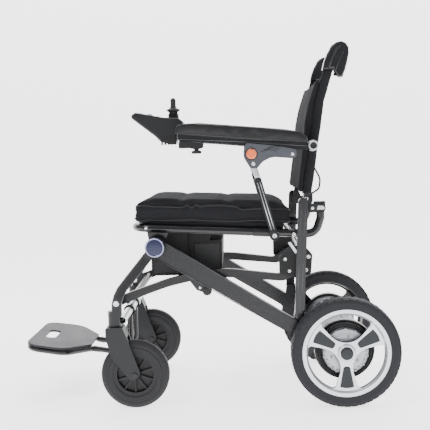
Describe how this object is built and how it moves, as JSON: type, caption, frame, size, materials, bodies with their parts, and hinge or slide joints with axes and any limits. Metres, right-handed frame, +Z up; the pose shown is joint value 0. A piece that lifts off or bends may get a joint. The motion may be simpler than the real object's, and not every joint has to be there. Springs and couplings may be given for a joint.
{
  "type": "power wheelchair",
  "caption": "Folding power wheelchair with hub-motor rear wheels, front casters, padded seat and back, flip-up armrests, footplate and joystick controller.",
  "frame": {"origin": "floor under the middle of the chair", "axes": "+Z up, -Y towards the front (the way the rider faces), +X towards the rider's left"},
  "size_m": [0.562, 1.0214, 0.9572],
  "materials": {
    "carbon": "gloss",
    "motor_casting": "satin",
    "frame_tube": "gloss",
    "bare_steel": "satin",
    "silver_tube": "satin",
    "tyre": "matte",
    "rim_paint": "satin",
    "cap_paint": "satin",
    "fork_plastic": "matte",
    "hub_plastic": "matte",
    "footplate_plastic": "matte",
    "link_paint": "satin",
    "bracket_black": "satin",
    "fabric": "woven",
    "box_plastic": "matte",
    "board_plastic": "matte",
    "grip_rubber": "matte",
    "cable": "gloss",
    "arm_pad": "satin",
    "arm_grey": "satin",
    "button_orange": "gloss",
    "control_black": "satin"
  },
  "bodies": {
    "main_frame": {"beam_left": "carbon", "beam_right": "carbon", "rear_cross_tube": "frame_tube", "motor_left": "motor_casting", "motor_right": "motor_casting", "post_pins": "bare_steel"},
    "front_frame": {"leg_left": "frame_tube", "leg_right": "frame_tube", "front_cross_tube": "silver_tube", "pivot_caps": "cap_paint", "frame_pins": "bare_steel"},
    "footrest": {"footplate": "footplate_plastic", "footrest_hoop": "frame_tube"},
    "link_arms": {"link_frame": "link_paint"},
    "rear_posts": {"rear_post_frame": "silver_tube", "rear_brackets": "bracket_black"},
    "seat": {"seat_frame": "frame_tube", "battery": "box_plastic", "power_box": "box_plastic", "seat_board": "board_plastic", "cushion_base": "fabric", "cushion_top": "fabric", "lock_housings": "bracket_black"},
    "backrest": {"back_frame": "frame_tube", "back_pad": "fabric", "push_grips": "grip_rubber", "release_cables": "cable"},
    "stick_gimbal": {"joystick_gimbal": "control_black"},
    "stick": {"joystick": "control_black"},
    "power_key": {"power_button": "control_black"},
    "horn_key": {"horn_button": "control_black"},
    "hand_screw": {"clamp_knob": "bracket_black"},
    "wheel_left": {"tyre_left": "tyre", "rim_left": "rim_paint"},
    "caster_fork_left": {"fork_left": "fork_plastic", "caster_axle_left": "bare_steel"},
    "caster_wheel_left": {"caster_tyre_left": "tyre", "caster_hub_left": "hub_plastic"},
    "arm_pivot_left": {"arm_hub_left": "bare_steel"},
    "armrest_left": {"arm_rail_left": "frame_tube", "arm_pad_left": "arm_pad", "arm_bracket_left": "arm_grey", "controller_housing": "control_black", "controller_clamp": "bracket_black"},
    "arm_release_left": {"arm_button_left": "button_orange"},
    "arm_strut_left": {"strut_left": "frame_tube"},
    "latch_left": {"lock_lever_left": "bracket_black"},
    "wheel_right": {"tyre_right": "tyre", "rim_right": "rim_paint"},
    "caster_fork_right": {"fork_right": "fork_plastic", "caster_axle_right": "bare_steel"},
    "caster_wheel_right": {"caster_tyre_right": "tyre", "caster_hub_right": "hub_plastic"},
    "arm_pivot_right": {"arm_hub_right": "bare_steel"},
    "armrest_right": {"arm_rail_right": "frame_tube", "arm_pad_right": "arm_pad", "arm_bracket_right": "arm_grey"},
    "arm_release_right": {"arm_button_right": "button_orange"},
    "arm_strut_right": {"strut_right": "frame_tube"},
    "latch_right": {"lock_lever_right": "bracket_black"}
  },
  "joints": [
    {"name": "leg_fold", "type": "hinge", "parent": "main_frame", "child": "front_frame", "pos_m": [0, -0.127, 0.4318], "axis": [1, 0, 0], "range_deg": [0, 30]},
    {"name": "link_turn", "type": "hinge", "parent": "front_frame", "child": "link_arms", "pos_m": [0, -0.2345, 0.284], "axis": [1, 0, 0], "range_deg": [-28.5, 0]},
    {"name": "post_turn", "type": "hinge", "parent": "main_frame", "child": "rear_posts", "pos_m": [0, 0.252, 0.24], "axis": [1, 0, 0], "range_deg": [-42, 0]},
    {"name": "seat_drop", "type": "hinge", "parent": "main_frame", "child": "seat", "pos_m": [0, -0.127, 0.4318], "axis": [1, 0, 0], "range_deg": [-5, 0]},
    {"name": "backrest_fold", "type": "hinge", "parent": "seat", "child": "backrest", "pos_m": [0, 0.276, 0.548], "axis": [1, 0, 0], "range_deg": [0, 92], "deforming": ["cushion_top"]},
    {"name": "footrest_flip", "type": "hinge", "parent": "front_frame", "child": "footrest", "pos_m": [0, -0.222, 0.235], "axis": [-1, 0, 0], "range_deg": [0, 80]},
    {"name": "drive_wheel_left", "type": "hinge", "parent": "main_frame", "child": "wheel_left", "pos_m": [0.256, 0.37, 0.145], "axis": [1, 0, 0], "continuous": true},
    {"name": "caster_swivel_left", "type": "hinge", "parent": "front_frame", "child": "caster_fork_left", "pos_m": [0.23, -0.2425, 0.24], "axis": [0, 0, 1], "continuous": true},
    {"name": "caster_roll_left", "type": "hinge", "parent": "caster_fork_left", "child": "caster_wheel_left", "pos_m": [0.23, -0.19, 0.0915], "axis": [1, 0, 0], "continuous": true},
    {"name": "arm_level_left", "type": "hinge", "parent": "backrest", "child": "arm_pivot_left", "pos_m": [0.22, 0.294, 0.689], "axis": [1, 0, 0], "range_deg": [-80, 0]},
    {"name": "armrest_flip_left", "type": "hinge", "parent": "arm_pivot_left", "child": "armrest_left", "pos_m": [0.242, 0.294, 0.689], "axis": [-1, 0, 0], "range_deg": [0, 95]},
    {"name": "arm_release_left", "type": "slide", "parent": "armrest_left", "child": "arm_release_left", "axis": [-1, 0, 0], "range_m": [0, 0.002], "stiffness_N_per_m": 400},
    {"name": "arm_strut_turn_left", "type": "hinge", "parent": "seat", "child": "arm_strut_left", "pos_m": [0.246, 0.189, 0.456], "axis": [1, 0, 0], "range_deg": [0, 68]},
    {"name": "latch_lever_left", "type": "hinge", "parent": "seat", "child": "latch_left", "pos_m": [0.212, 0.292, 0.5235], "axis": [1, 0, 0], "range_deg": [0, 22], "stiffness_Nm_per_rad": 0.4},
    {"name": "drive_wheel_right", "type": "hinge", "parent": "main_frame", "child": "wheel_right", "pos_m": [-0.256, 0.37, 0.145], "axis": [1, 0, 0], "continuous": true},
    {"name": "caster_swivel_right", "type": "hinge", "parent": "front_frame", "child": "caster_fork_right", "pos_m": [-0.23, -0.2425, 0.24], "axis": [0, 0, 1], "continuous": true},
    {"name": "caster_roll_right", "type": "hinge", "parent": "caster_fork_right", "child": "caster_wheel_right", "pos_m": [-0.23, -0.19, 0.0915], "axis": [1, 0, 0], "continuous": true},
    {"name": "arm_level_right", "type": "hinge", "parent": "backrest", "child": "arm_pivot_right", "pos_m": [-0.22, 0.294, 0.689], "axis": [1, 0, 0], "range_deg": [-80, 0]},
    {"name": "armrest_flip_right", "type": "hinge", "parent": "arm_pivot_right", "child": "armrest_right", "pos_m": [-0.242, 0.294, 0.689], "axis": [-1, 0, 0], "range_deg": [0, 95]},
    {"name": "arm_release_right", "type": "slide", "parent": "armrest_right", "child": "arm_release_right", "axis": [1, 0, 0], "range_m": [0, 0.002], "stiffness_N_per_m": 400},
    {"name": "arm_strut_turn_right", "type": "hinge", "parent": "seat", "child": "arm_strut_right", "pos_m": [-0.246, 0.189, 0.456], "axis": [1, 0, 0], "range_deg": [0, 68]},
    {"name": "latch_lever_right", "type": "hinge", "parent": "seat", "child": "latch_right", "pos_m": [-0.212, 0.292, 0.5235], "axis": [1, 0, 0], "range_deg": [0, 22], "stiffness_Nm_per_rad": 0.4},
    {"name": "stick_side_tilt", "type": "hinge", "parent": "armrest_left", "child": "stick_gimbal", "pos_m": [0.184, -0.072, 0.756], "axis": [0, 1, 0], "range_deg": [-15, 15], "stiffness_Nm_per_rad": 0.25},
    {"name": "stick_forward_tilt", "type": "hinge", "parent": "stick_gimbal", "child": "stick", "pos_m": [0.184, -0.072, 0.756], "axis": [1, 0, 0], "range_deg": [-15, 15], "stiffness_Nm_per_rad": 0.25},
    {"name": "power_press", "type": "slide", "parent": "armrest_left", "child": "power_key", "axis": [0, 0, -1], "range_m": [0, 0.0025], "stiffness_N_per_m": 250},
    {"name": "horn_press", "type": "slide", "parent": "armrest_left", "child": "horn_key", "axis": [0, 0, -1], "range_m": [0, 0.0025], "stiffness_N_per_m": 250},
    {"name": "hand_screw_turn", "type": "hinge", "parent": "armrest_left", "child": "hand_screw", "pos_m": [0.242, -0.01, 0.69], "axis": [0, 0, 1], "continuous": true}
  ],
  "couplings": [
    {"joint": "link_turn", "follows": "leg_fold", "ratio": -0.95},
    {"joint": "post_turn", "follows": "leg_fold", "ratio": -1.4},
    {"joint": "seat_drop", "follows": "leg_fold", "ratio": -0.16666},
    {"joint": "arm_level_left", "follows": "backrest_fold", "ratio": -0.865},
    {"joint": "arm_strut_turn_left", "follows": "backrest_fold", "ratio": 0.736},
    {"joint": "arm_level_right", "follows": "backrest_fold", "ratio": -0.865},
    {"joint": "arm_strut_turn_right", "follows": "backrest_fold", "ratio": 0.736}
  ]
}
